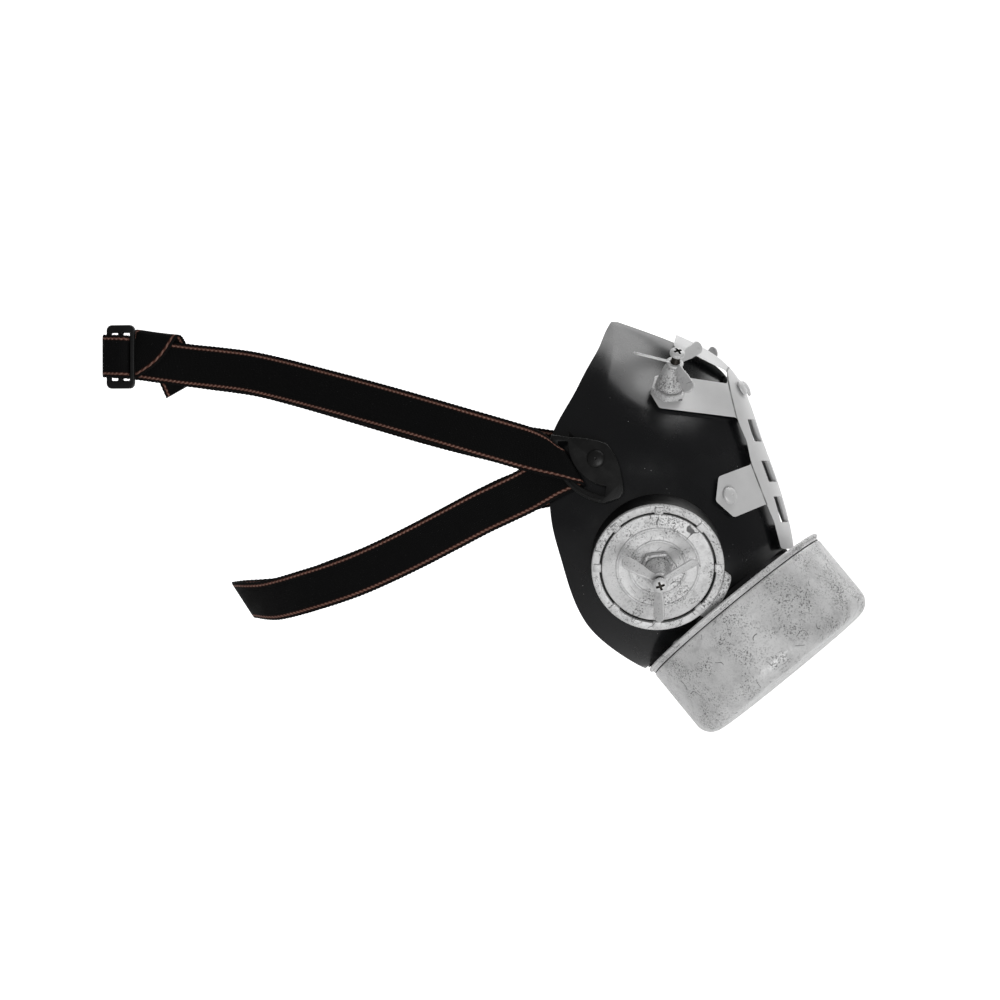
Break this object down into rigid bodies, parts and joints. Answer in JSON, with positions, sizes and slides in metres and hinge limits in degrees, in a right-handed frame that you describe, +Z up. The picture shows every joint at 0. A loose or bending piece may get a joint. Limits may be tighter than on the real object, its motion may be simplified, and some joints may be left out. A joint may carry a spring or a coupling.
{
  "type": "gas mask style costume mask",
  "caption": "Half-face costume mask with a slotted front plate, round side valves with wing bolts, a large front canister and an elastic head strap with a slider.",
  "frame": {"origin": "middle of the open back, where the wearer's face comes, half way between the rim's two sides", "axes": "+X forward out of the nose, +Y to the wearer's left, +Z up the face; the strap loops reach back to -X"},
  "size_m": [0.3527, 0.1572, 0.1863],
  "materials": {
    "shell_black": "glossy black moulded plastic with dust specks",
    "plate_grey": "satin light grey paint",
    "silver_paint": "worn silver paint with dark stipple and scuffs",
    "black_trim": "satin black moulded plastic",
    "strap_elastic": "ribbed black elastic with a copper line near each edge"
  },
  "bodies": {
    "root": {"face_shell": "shell_black", "grille_plate": "plate_grey", "canister_body": "silver_paint", "canister_back": "silver_paint", "valve_base_right": "black_trim", "valve_catch_right": "silver_paint", "valve_ring_right": "silver_paint", "valve_disc_right": "silver_paint", "valve_nut_right": "silver_paint", "valve_cone_right": "silver_paint", "valve_wing_right": "silver_paint", "valve_screw_right": "silver_paint", "arm_nut_right": "silver_paint", "arm_cone_right": "silver_paint", "arm_wing_right": "silver_paint", "arm_screw_right": "silver_paint", "strap_tab_right": "black_trim", "tab_rivet_right": "black_trim", "plate_rivet_low_right": "plate_grey", "plate_rivet_top_right": "plate_grey", "valve_base_left": "black_trim", "valve_catch_left": "silver_paint", "valve_ring_left": "silver_paint", "valve_disc_left": "silver_paint", "valve_nut_left": "silver_paint", "valve_cone_left": "silver_paint", "valve_wing_left": "silver_paint", "valve_screw_left": "silver_paint", "arm_nut_left": "silver_paint", "arm_cone_left": "silver_paint", "arm_wing_left": "silver_paint", "arm_screw_left": "silver_paint", "strap_tab_left": "black_trim", "tab_rivet_left": "black_trim", "plate_rivet_low_left": "plate_grey", "plate_rivet_top_left": "plate_grey", "head_strap": "strap_elastic", "strap_slider": "black_trim"}
  },
  "joints": []
}
